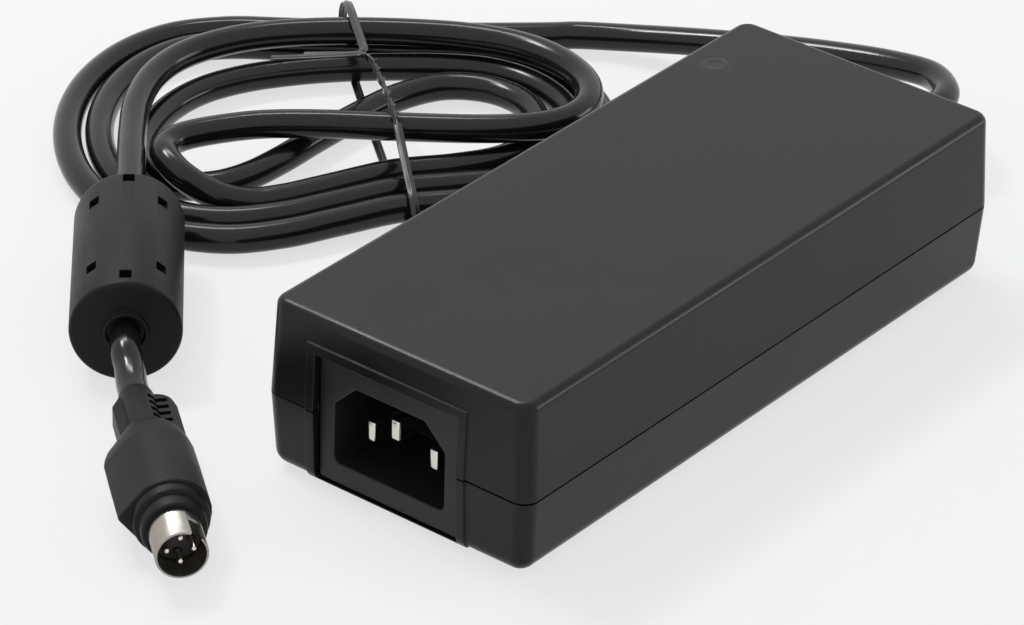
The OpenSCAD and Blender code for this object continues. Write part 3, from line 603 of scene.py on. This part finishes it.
def make_feet():
    for node, sx, sy in (
        ("foot_front_left", -1, -1),
        ("foot_front_right", 1, -1),
        ("foot_back_left", -1, 1),
        ("foot_back_right", 1, 1),
    ):
        foot = turned(
            [(0, 0.06), (2.6, 0.03), (3.9, 0), (4.3, 0.08), (FOOT_R, 0.3), (FOOT_R, FOOT_H),
             (0, FOOT_H)],
            64,
        )
        at = Vector((sx * (CASE_W / 2 - 9.5), sy * (CASE_L / 2 - 11), 0))
        finish(foot, node + "_pad", RUBBER, [node], Matrix.Translation(at))


def make_lens():
    z = CASE_H - 0.1
    lens = turned(
        [(0, 12.8), (1.4, 12.8), (1.4, 31.4), (3.6, 31.5), (3.6, 32.3), (LENS_R, 32.3),
         (LENS_R, z - 0.12), (LENS_R + 0.17, z + 0.04), (LENS_R, z + 0.08), (1.9, z + 0.09),
         (1.5, z + 0.05), (0, z)],
        64,
    )
    finish(lens, "indicator_light", LENS_MAT, ["indicator_lens"], Matrix.Translation(LENS))


# ---------- mains inlet ----------


def rounded(points, radii, steps=4):
    """A flat outline with an arc at each of its points."""
    out = []
    count = len(points)
    for i, radius in enumerate(radii):
        here = Vector(points[i])
        u = (Vector(points[i - 1]) - here).normalized()
        v = (Vector(points[(i + 1) % count]) - here).normalized()
        half = u.angle(v) / 2
        if radius <= 0:
            out.append(here)
            continue
        middle = here + (u + v).normalized() * radius / math.sin(half)
        start = here + u * radius / math.tan(half) - middle
        turn = (here + v * radius / math.tan(half) - middle).angle(start)
        sign = 1 if u.x * v.y - u.y * v.x < 0 else -1
        for s in range(steps + 1):
            a = sign * turn * s / steps
            out.append(
                middle
                + Vector((
                    start.x * math.cos(a) - start.y * math.sin(a),
                    start.x * math.sin(a) + start.y * math.cos(a),
                ))
            )
    return out


def upright_prism(outline, y0, y1):
    """A prism of an outline in X and Z, between two places along Y."""
    return loft([[(INLET_X + p.x, y, INLET_Z + p.y) for p in outline] for y in (y0, y1)])


def make_inlet():
    w, h = INLET_W / 2, INLET_H / 2
    flange = upright_prism(
        rounded([(-w, -h), (w, -h), (w, h), (-w, h)], [1, 1, 1, 1]), INLET_Y, INLET_Y + 3
    )
    back = block(
        (INLET_X - INLET_BACK.x / 2, INLET_Y + 1, INLET_Z - INLET_BACK.z / 2),
        (INLET_X + INLET_BACK.x / 2, INLET_Y + INLET_BACK.y, INLET_Z + INLET_BACK.z / 2),
    )
    x, z, c = SOCKET_W / 2, SOCKET_H / 2, SOCKET_CHAMFER
    outline = rounded(
        [(-x, -z), (x, -z), (x, z - c), (x - c, z), (-x + c, z), (-x, z - c)],
        [1.2, 1.2, 0.6, 0.6, 0.6, 0.6],
    )
    socket = upright_prism(outline, INLET_Y - 2, INLET_Y + SOCKET_D)
    slots = [
        block(
            (INLET_X + px - BLADE_T / 2, INLET_Y + SOCKET_D - 1, pz - BLADE_W / 2),
            (INLET_X + px + BLADE_T / 2, INLET_Y + SOCKET_D + 6, pz + BLADE_W / 2),
        )
        for px, pz in ((-PIN_PITCH / 2, LIVE_Z), (PIN_PITCH / 2, LIVE_Z), (0, EARTH_Z))
    ]
    body = combine(combine(flange, [back], "UNION"), [socket] + slots)
    finish(body, "inlet_housing", INLET, ["inlet_body"], bevel=0.32, segments=3)


def make_blade(node, x, z, recess):
    """A blade with a chamfered tip, and behind the inlet a thinner tab with a hole."""
    tip, root = INLET_Y + recess, INLET_Y + INLET_BACK.y
    blade = block((x - BLADE_T / 2, tip, z - BLADE_W / 2), (x + BLADE_T / 2, root, z + BLADE_W / 2))
    round_edges(blade, lambda a, b: a.y < tip + 0.1 and b.y < tip + 0.1, 0.7, 2)
    tab = combine(
        block((x - 0.4, root - 0.5, z - BLADE_W / 2), (x + 0.4, root + 5, z + BLADE_W / 2)),
        [rod(0.7, 4, 24, (x - 2, root + 3.6, z + 0.6), (math.pi / 2, "Y"))],
    )
    join(blade, tab)
    finish(blade, node + "_blade", NICKEL, [node], bevel=0.12)


# ---------- cord ----------


def make_relief():
    """The strain relief: a collar on each side of the wall, and a tail in tapering rings."""
    neck = RELIEF_HOLE_R - 0.1
    profile = [(0, -4.5), (5.7, -4.5), (6, -4.2), (6, -2.5), (neck, -2.5), (neck, 0.05), (5.8, 0.05),
               (6, 0.25), (6, 1.4), (5.8, 1.6)]
    for i in range(5):
        y, r = 2 + i * 3.4, 5.6 - i * 0.32
        profile += [(r - 0.15, y - 0.1), (r, y + 0.1), (r - 0.06, y + 1.8), (r - 0.25, y + 2.05),
                    (r - 1, y + 2.2), (r - 1, y + 3.1)]
    profile += [(3.8, RELIEF_L - 0.8), (3.6, RELIEF_L - 0.2), (3.3, RELIEF_L), (0, RELIEF_L)]
    relief = turned(profile, 64)
    place = Matrix.Translation((0, BACK_Y, SEAM_Z)) @ Matrix.Rotation(-math.pi / 2, 4, "X")
    finish(relief, "cord_strain_relief", PVC_DULL, ["strain_relief"], place, sharp=50)


def make_cord():
    route = [p * MM for p in cord_route()]
    curve = bpy.data.curves.new("power_cord", "CURVE")
    curve.dimensions = "3D"
    line = curve.splines.new("POLY")
    line.points.add(len(route) - 1)
    for point, place in zip(line.points, route):
        point.co = (*place, 1)
    line.use_smooth = True
    curve.bevel_depth = CORD_R * MM
    curve.bevel_resolution = 10
    curve.use_fill_caps = True
    curve.materials.append(PVC_CORD)
    cord = add_object("power_cord", curve)
    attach(cord, "root")
    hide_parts("cord_lead", "cord_hank", "cord_in_bead", "cord_tail")


def make_bead():
    """The moulding round the ferrite: rounded ends, a lip round the cord and three slots near each end."""
    r, n = BEAD_R, BEAD_L
    shell = turned(
        [(0, 0.2), (r - 2.4, 0.15), (r - 1.6, 0.3), (r - 0.7, 0.8), (r - 0.2, 1.6), (r, 2.6),
         (r, n - 0.9), (r - 0.12, n - 0.4), (r - 0.4, n - 0.12), (r - 0.9, n),
         (4.4, n), (4.3, n + 0.1), (4.15, n + 0.6), (3.95, n + 0.7), (3.65, n + 0.7), (3.5, n + 0.55),
         (3.4, n - 0.3), (0, n - 0.3)],
        96,
    )
    slots = []
    for middle, sides in ((3.4, 9), (n - 3.2, n - 9)):
        for a, z in ((-38, sides), (0, middle), (38, sides)):
            slot = block((-1.1, r - 1.8, z - 1.4), (1.1, r + 3, z + 1.4))
            bmesh.ops.transform(slot, matrix=Matrix.Rotation(math.radians(a), 4, "Z"), verts=slot.verts)
            slots.append(slot)
    shell = combine(shell, slots)
    return finish(shell, "bead_cover", PVC_DULL, ["bead_moulding"], ON_BEAD, sharp=40)


# ---------- plug: made along +Z, with X down and Y to the right ----------


def grip_ring(s, r, wedge):
    """One ring of the grip: round, with a side that is drawn out to a point by wedge, from 0 to 1."""
    points = []
    for i in range(19):
        a = math.radians(128 - 12 * i)
        points.append(Vector((-r * math.sin(a), r * math.cos(a))))
    corners = [
        (0.999 * r, 0.035 * r), (r, -0.44 * r), (-0.03 * r, -1.26 * r), (-0.788 * r, -0.616 * r)
    ]
    drawn = rounded(corners, [0, 1.2, 0.9, 0], 3)[1:-1]
    for p in drawn:
        on_circle = p.normalized() * r
        points.append(on_circle.lerp(p, wedge))
    return [(p.x, p.y, s) for p in points]


def ladder_slots():
    """Tools for the slots that let the plug's own strain relief bend."""
    return [block((-4, 1.5, z), (-0.6, 5, z + LADDER_SLOT)) for z in LADDER]


def make_grip():
    r = GRIP_R
    grip = loft(
        [
            grip_ring(*ring)
            for ring in (
                (12.4, 3.4, 0), (13.2, 4.1, 0.1), (14.4, 5.0, 0.3), (16, 5.9, 0.5), (18, 6.65, 0.75),
                (20, 7.05, 0.93), (GRIP_START, r - 0.05, 1), (28, r, 1), (GRIP_END - 0.5, r, 1),
                (GRIP_END - 0.15, r - 0.12, 1), (GRIP_END, r - 0.4, 1),
            )
        ]
    )
    collars = turned(
        [(0, GRIP_END - 1), (6.7, GRIP_END - 1), (6.7, GRIP_END + 1.7), (6.55, GRIP_END + 2),
         (6.2, GRIP_END + 2.2), (5.85, GRIP_END + 2.3), (5.75, GRIP_END + 4.6),
         (5.6, COLLAR_END - 0.15), (5.4, COLLAR_END), (SHELL_R - 0.05, COLLAR_END),
         (SHELL_R - 0.05, COLLAR_END - 1), (0, COLLAR_END - 1)],
        72,
    )
    spine = turned([(0, 0), (2.95, 0), (3.15, 0.2), (3.3, 1), (3.5, 12.5), (3.5, 15), (0, 15)], 48)
    spine = combine(spine, ladder_slots())
    plate_outline = rounded(
        [(-3.2, 1.8), (5.4, 1.8), (6.4, 6.5), (6.4, 15.7), (-4.9, 15.7), (-4.9, 5)],
        [0.8, 3, 2, 0, 0, 1.5],
        6,
    )
    plate = loft([[(x, p.x, p.y) for p in plate_outline] for x in (-1.6, 2.0)])
    plate = combine(plate, ladder_slots())
    for other in (collars, spine, plate):
        join(grip, other)
    return finish(grip, "plug_body", PVC_DULL, ["plug_grip"], ON_PLUG, sharp=32)


def make_plug_shell():
    start = COLLAR_END - 6
    outer, inner = SHELL_R, SHELL_R - 0.4
    shell = turned(
        [(0, start), (outer, start), (outer, MOUTH - 0.15), (outer - 0.1, MOUTH), (0, MOUTH)], 96
    )
    bore = rod(inner, 20, 96, (0, 0, start - 2))
    key = block((2, -1.1, MOUTH - 5), (6, 1.1, MOUTH + 1))
    bmesh.ops.transform(key, matrix=Matrix.Rotation(math.radians(145), 4, "Z"), verts=key.verts)
    return finish(
        combine(shell, [bore, key]), "plug_barrel", NICKEL_RUBBED_PAINTED_SHADE, ["plug_shell"], ON_PLUG, sharp=40
    )


def make_insulator():
    start, face = COLLAR_END - 6, MOUTH - 5.2
    r = SHELL_R - 0.42
    body = turned([(0, start), (r, start), (r, face - 0.2), (r - 0.2, face), (0, face)], 72)
    holes = []
    for a in range(4):
        angle = math.pi / 2 * a
        at = (CONTACT_RING * math.cos(angle), CONTACT_RING * math.sin(angle), face - 0.6)
        holes.append(rod(0.8, 2, 24, at))
    return finish(
        combine(body, holes), "contact_carrier", PHENOLIC, ["plug_insulator"], ON_PLUG
    )


def make_contacts():
    pins = bmesh.new()
    for a in range(4):
        pin = turned(
            [(0, COLLAR_END - 5), (0.55, COLLAR_END - 5), (0.55, MOUTH - 2), (0.47, MOUTH - 1.7),
             (0.25, MOUTH - 1.52), (0, MOUTH - 1.5)],
            24,
        )
        at = Vector((CONTACT_RING, 0, 0))
        at.rotate(Quaternion(UP, math.pi / 2 * a))
        bmesh.ops.translate(pin, vec=at, verts=pin.verts)
        join(pins, pin)
    return finish(pins, "contact_pins", NICKEL, ["plug_contacts"], ON_PLUG, sharp=60)


def make_tie():
    """A flat strip with a wire along its middle, bent round the hank and twisted above it."""
    path = smooth([HANK_FRAME @ Vector(p) for p in TIE_POINTS], 16)
    twisted = next(i for i, p in enumerate(path) if p.z < TIE_TWIST_LOW)
    w, t = TIE_W / 2, TIE_T / 2
    profile = [
        (-w, -0.12), (-w, 0.12), (-0.4, 0.15), (-0.26, t - 0.08), (0, t), (0.26, t - 0.08), (0.4, 0.15),
        (w, 0.12), (w, -0.12), (0.4, -0.15), (0.26, 0.08 - t), (0, -t), (-0.26, 0.08 - t), (-0.4, -0.15),
    ]
    rings = []
    normal = UP
    for i, point in enumerate(path):
        ahead = (path[min(i + 1, len(path) - 1)] - path[max(i - 1, 0)]).normalized()
        normal = (normal - normal.dot(ahead) * ahead).normalized()
        share = min(max((i - TIE_TAIL) / (twisted - TIE_TAIL), 0), 1)
        roll = Quaternion(ahead, math.pi * TIE_HALF_TURNS * share)
        up, side = roll @ normal, roll @ ahead.cross(normal)
        rings.append([point + side * a + up * b for a, b in profile])
    finish(loft(rings), "hank_tie", TIE, ["twist_tie"], sharp=50)


# ---------- camera, light and floor ----------

FLOOR_GLOW = 0.75  # how much of the floor's white is there without light, which makes its shadows pale
DOME = 0.56  # the light from all round
SENSOR, FOCAL_LENGTH = 36, 186.45
AZIMUTH, ELEVATION, ROLL = math.radians(37.76), math.radians(30.88), math.radians(1.765)
LOOK_AT, CAMERA_DISTANCE = Vector((-0.0289, 0, 0)), 0.9781


def make_camera():
    data = bpy.data.cameras.new("camera")
    data.sensor_width = SENSOR
    data.lens = FOCAL_LENGTH
    data.clip_start = 0.05
    camera = add_object("camera", data)
    away = Vector((
        math.cos(ELEVATION) * math.sin(AZIMUTH),
        -math.cos(ELEVATION) * math.cos(AZIMUTH),
        math.sin(ELEVATION),
    ))
    camera.location = LOOK_AT + CAMERA_DISTANCE * away
    turn = away.to_track_quat("Z", "Y") @ Quaternion((0, 0, 1), ROLL)
    camera.rotation_euler = turn.to_euler()
    scene.camera = camera


def make_lamp(name, at, size, power, aim=(-0.04, 0, 0.01)):
    data = bpy.data.lights.new(name, "AREA")
    data.shape = "RECTANGLE"
    data.size, data.size_y = size
    data.energy = power
    lamp = add_object(name, data)
    lamp.location = at
    lamp.rotation_euler = (Vector(at) - Vector(aim)).to_track_quat("Z", "Y").to_euler()


def seen_directly(tree):
    """1 for what the camera sees, also in a mirror and through glass, and 0 for light on things."""
    rays = add(tree, "ShaderNodeLightPath")
    seen = rays.outputs["Is Camera Ray"]
    for other in ("Is Glossy Ray", "Is Transmission Ray"):
        either = add(tree, "ShaderNodeMath", {0: seen, 1: rays.outputs[other]}, operation="MAXIMUM")
        seen = either.outputs[0]
    return seen


def make_studio():
    floor = bmesh.new()
    bmesh.ops.create_grid(floor, x_segments=1, y_segments=1, size=3)
    mesh = bpy.data.meshes.new("floor")
    floor.to_mesh(mesh)
    floor.free()
    material, tree, where = new_material("paper_sweep")
    speckle = add(tree, "ShaderNodeTexNoise", {"Vector": where, "Scale": per_mm(60)})
    tone = add(
        tree,
        "ShaderNodeMix",
        {"Factor": speckle.outputs["Fac"], "A": srgb("#f4f5f6"), "B": srgb("#f7f7f8")},
        data_type="RGBA",
    )
    paper = add(tree, "ShaderNodeBsdfDiffuse", {"Color": tone.outputs["Result"]})
    glow = add(tree, "ShaderNodeEmission", {"Color": tone.outputs["Result"], "Strength": 1.0})
    share = add(tree, "ShaderNodeMath", {0: seen_directly(tree), 1: FLOOR_GLOW}, operation="MULTIPLY")
    both = add(
        tree, "ShaderNodeMixShader", {0: share.outputs[0], 1: paper.outputs[0], 2: glow.outputs[0]}
    )
    add(tree, "ShaderNodeOutputMaterial", {"Surface": both.outputs[0]})
    mesh.materials.append(material)
    add_object("floor", mesh)

    world = bpy.data.worlds.new("studio")
    world.use_nodes = True
    scene.world = world
    tree = world.node_tree
    tree.nodes.clear()
    soft = add(tree, "ShaderNodeBackground", {"Color": srgb("#ffffff"), "Strength": DOME})
    white = add(tree, "ShaderNodeBackground", {"Color": srgb("#ffffff"), "Strength": 1.0})
    both = add(
        tree, "ShaderNodeMixShader", {0: seen_directly(tree), 1: soft.outputs[0], 2: white.outputs[0]}
    )
    add(tree, "ShaderNodeOutputWorld", {"Surface": both.outputs[0]})

    make_lamp("overhead_softbox", (-0.55, -0.03, 0.8), (0.16, 0.14), 2.2)
    make_lamp("overhead_strip", (-0.47, 0.22, 0.8), (0.5, 0.1), 2.2)
    make_lamp("right_softbox", (0.62, 0.66, 0.16), (0.5, 0.24), 1.4)
    scene.view_settings.view_transform = "Standard"


# ---------- carried-over solids: the supply inside the case ----------

INSIDE = {
    # brown and blue sleeves are PVC over stranded wire, with a soft gloss
    "line_wire": surface("pvc_sleeve_brown", ("#5a351f", "#6b4226"), (0.35, 0.45), 3, 0.5, 0.004),
    "neutral_wire": surface("pvc_sleeve_blue", ("#27509a", "#2f5fa8"), (0.35, 0.45), 3, 0.5, 0.004),
    "earth_wire": banded("pvc_sleeve_green_yellow", ("#3f8a33", "#d9c93a"), 1.6, "Z", 0.4),
    "output_wire_positive": surface("pvc_sleeve_red", ("#8a1f1c", "#a02824"), (0.35, 0.45), 3, 0.5, 0.004),
    "output_wire_negative": surface(
        "pvc_sleeve_black", ("#121212", "#1a1a1a"), (0.35, 0.45), 3, 0.5, 0.004
    ),
    # resist over glass cloth: a dark green with a weave that shows faintly through it
    "circuit_board": surface("glass_epoxy_green_resist", ("#1d4f2a", "#28633a"), (0.3, 0.4), 5, 0.6, 0.01),
    # clear sheet over a pale board: a creamy sheen
    "insulation_sheet": surface(
        "polycarbonate_sheet_pale", ("#dcd4bc", "#e8e1cc"), (0.3, 0.4), 12, 0.6, 0.004
    ),
    # moulded cases of small parts: brown, grey and yellow, each with its own gloss
    "fuse": surface("phenolic_moulded_fuse", ("#3f2a1c", "#503725"), (0.4, 0.5), 3, 0.4, 0.008),
    "thermistor": surface("epoxy_dipped_thermistor", ("#26292d", "#33373c"), (0.35, 0.5), 2, 0.8, 0.03),
    "x_capacitor": surface("polypropylene_box_yellow", ("#c9a93a", "#d8ba46"), (0.3, 0.4), 6, 0.5, 0.004),
    # a coated ferrite ring, dull green, and lacquered copper whose turns lie side by side, darker in the
    # grooves between the turns and lighter on their crowns: painted shade and painted highlight
    "choke_core": surface("ferrite_sintered_coated", ("#3d5545", "#48634f"), (0.45, 0.6), 3, 0.4, 0.01),
    "choke_winding": banded("copper_winding_painted_groove_shade", ("#8f4a1f", "#c47a3c"), 0.9, "Z", 0.3, Metallic=1.0),
    # black epoxy with a matt mould finish, and glossy dipped blue with an orange-peel skin
    "bridge_rectifier": surface("epoxy_moulded_black", ("#1b1b1e", "#232327"), (0.4, 0.5), 4, 0.35, 0.008),
    "y_capacitor_1": surface("epoxy_dipped_blue", ("#2c5490", "#3767a6"), (0.25, 0.35), 2, 0.9, 0.02),
    # sleeve shrunk tight over an aluminium can: smooth and glossy; the adhesive is white and lumpy
    "bulk_capacitor": surface("pvc_sleeve_shrunk_navy", ("#1d2540", "#27304d"), (0.2, 0.3), 8, 1.2, 0.006),
    "adhesive_pad": surface("silicone_adhesive_white", ("#d9d9d4", "#e6e6e1"), (0.5, 0.6), 3, 1.0, 0.05),
    # rolled aluminium: a bright grey with a soft sheen; its package is matt black
    "primary_heatsink": surface(
        "aluminium_sheet_rolled", ("#b4b7ba", "#c3c6c9"), (0.28, 0.4), 5, 0.5, 0.002, Metallic=1.0
    ),
    "switching_transistor": surface(
        "epoxy_moulded_package", ("#1a1a1d", "#242428"), (0.4, 0.5), 2, 0.3, 0.008
    ),
    # sintered ferrite: brownish grey and dry; the bobbin is dark red and the tape a glossy yellow
    "transformer_core": surface("ferrite_sintered_bare", ("#34302f", "#403c3a"), (0.4, 0.55), 3, 0.5, 0.012),
    "transformer_bobbin": surface(
        "phenolic_moulded_bobbin", ("#4f221a", "#612c22"), (0.4, 0.5), 3, 0.4, 0.008
    ),
    "transformer_winding": banded("polyester_tape_yellow", ("#c9a12a", "#dcb93f"), 9.0, "Z", 0.28),
    # small packages: matt black, and white for the optocoupler
    "controller_chip": surface("epoxy_moulded_chip", ("#141416", "#1c1c1e"), (0.45, 0.55), 2, 0.3, 0.006),
    "optocoupler": surface("epoxy_moulded_white", ("#d4d4cf", "#e2e2dd"), (0.4, 0.5), 2, 0.3, 0.006),
    "output_capacitor_1": surface(
        "pvc_sleeve_shrunk_violet", ("#2c2340", "#382d50"), (0.2, 0.3), 5, 1.0, 0.006
    ),
    # zinc-plated steel: a cool bright grey
    "heatsink_screws": surface(
        "steel_zinc_plated", ("#b9bcc0", "#c9ccd0"), (0.25, 0.35), 1, 0.3, 0.002, Metallic=1.0
    ),
    # bare sintered sleeve, and milky epoxy that spreads the light
    "ferrite_core": surface("ferrite_sintered_sleeve", ("#2b2b2d", "#363638"), (0.45, 0.6), 4, 0.5, 0.012),
    "status_led": surface("epoxy_cast_diffused", ("#d4ddd2", "#e3eae0"), (0.15, 0.22), 1, 0.5, 0.002),
}
SAME_AS = {
    "y_capacitor_2": "y_capacitor_1",
    "secondary_heatsink": "primary_heatsink",
    "heat_spreader": "primary_heatsink",
    "output_rectifier": "switching_transistor",
    "output_capacitor_2": "output_capacitor_1",
    # the output inductor's winding has the same painted shade between its turns and painted highlight on them
    "output_inductor": "choke_winding",
    "heatsink_nuts": "heatsink_screws",
}


def dress_inside():
    for name, node in nodes.items():
        material = INSIDE.get(SAME_AS.get(name, name))
        if material:
            node.data.materials.clear()
            node.data.materials.append(material)


# ---------- everything ----------

make_camera()
bead = make_bead()
plug_parts = [make_grip(), make_plug_shell(), make_insulator(), make_contacts()]
make_cord()
make_relief()
make_tie()
make_case()
make_feet()
make_lens()
make_inlet()
make_blade("line_pin", INLET_X - PIN_PITCH / 2, LIVE_Z, 3.5)
make_blade("neutral_pin", INLET_X + PIN_PITCH / 2, LIVE_Z, 3.5)
make_blade("earth_pin", INLET_X, EARTH_Z, 1.5)
dress_inside()
make_studio()
